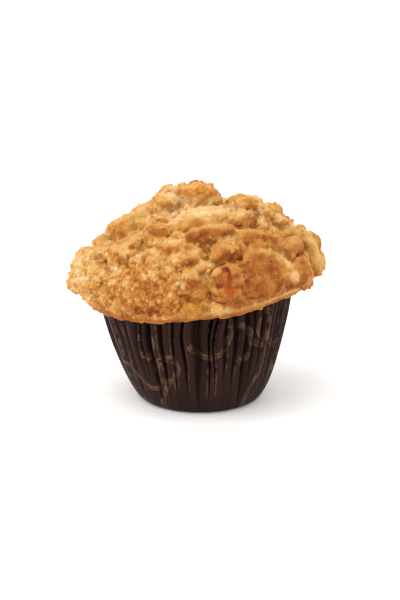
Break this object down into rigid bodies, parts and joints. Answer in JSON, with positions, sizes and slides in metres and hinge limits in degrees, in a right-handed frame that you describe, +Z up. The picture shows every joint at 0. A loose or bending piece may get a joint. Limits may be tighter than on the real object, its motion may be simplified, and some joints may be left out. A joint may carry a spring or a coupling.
{
  "type": "muffin",
  "caption": "Fruit crumble muffin with a craggy domed crown and chunks of fruit, standing in a pleated paper baking case.",
  "frame": {"origin": "centre of the paper case's flat foot, on the surface that the muffin stands on", "axes": "+Z up; the muffin's front, with the red-skinned fruit chunk, faces -Y; +X is to the right seen from the front"},
  "size_m": [0.1029, 0.0991, 0.0869],
  "materials": {
    "baked_cake": "matte",
    "baking_paper": "satin",
    "cooked_fruit": "satin"
  },
  "bodies": {
    "root": {"muffin_cake": "baked_cake", "paper_case": "baking_paper", "fruit_chunk_red_skin": "cooked_fruit", "fruit_chunk_amber": "cooked_fruit", "fruit_chunk_pale": "cooked_fruit", "fruit_chunk_top": "cooked_fruit", "fruit_chunk_rear_left": "cooked_fruit", "fruit_chunk_rear_right": "cooked_fruit", "fruit_chunk_rear_high": "cooked_fruit"}
  },
  "joints": []
}
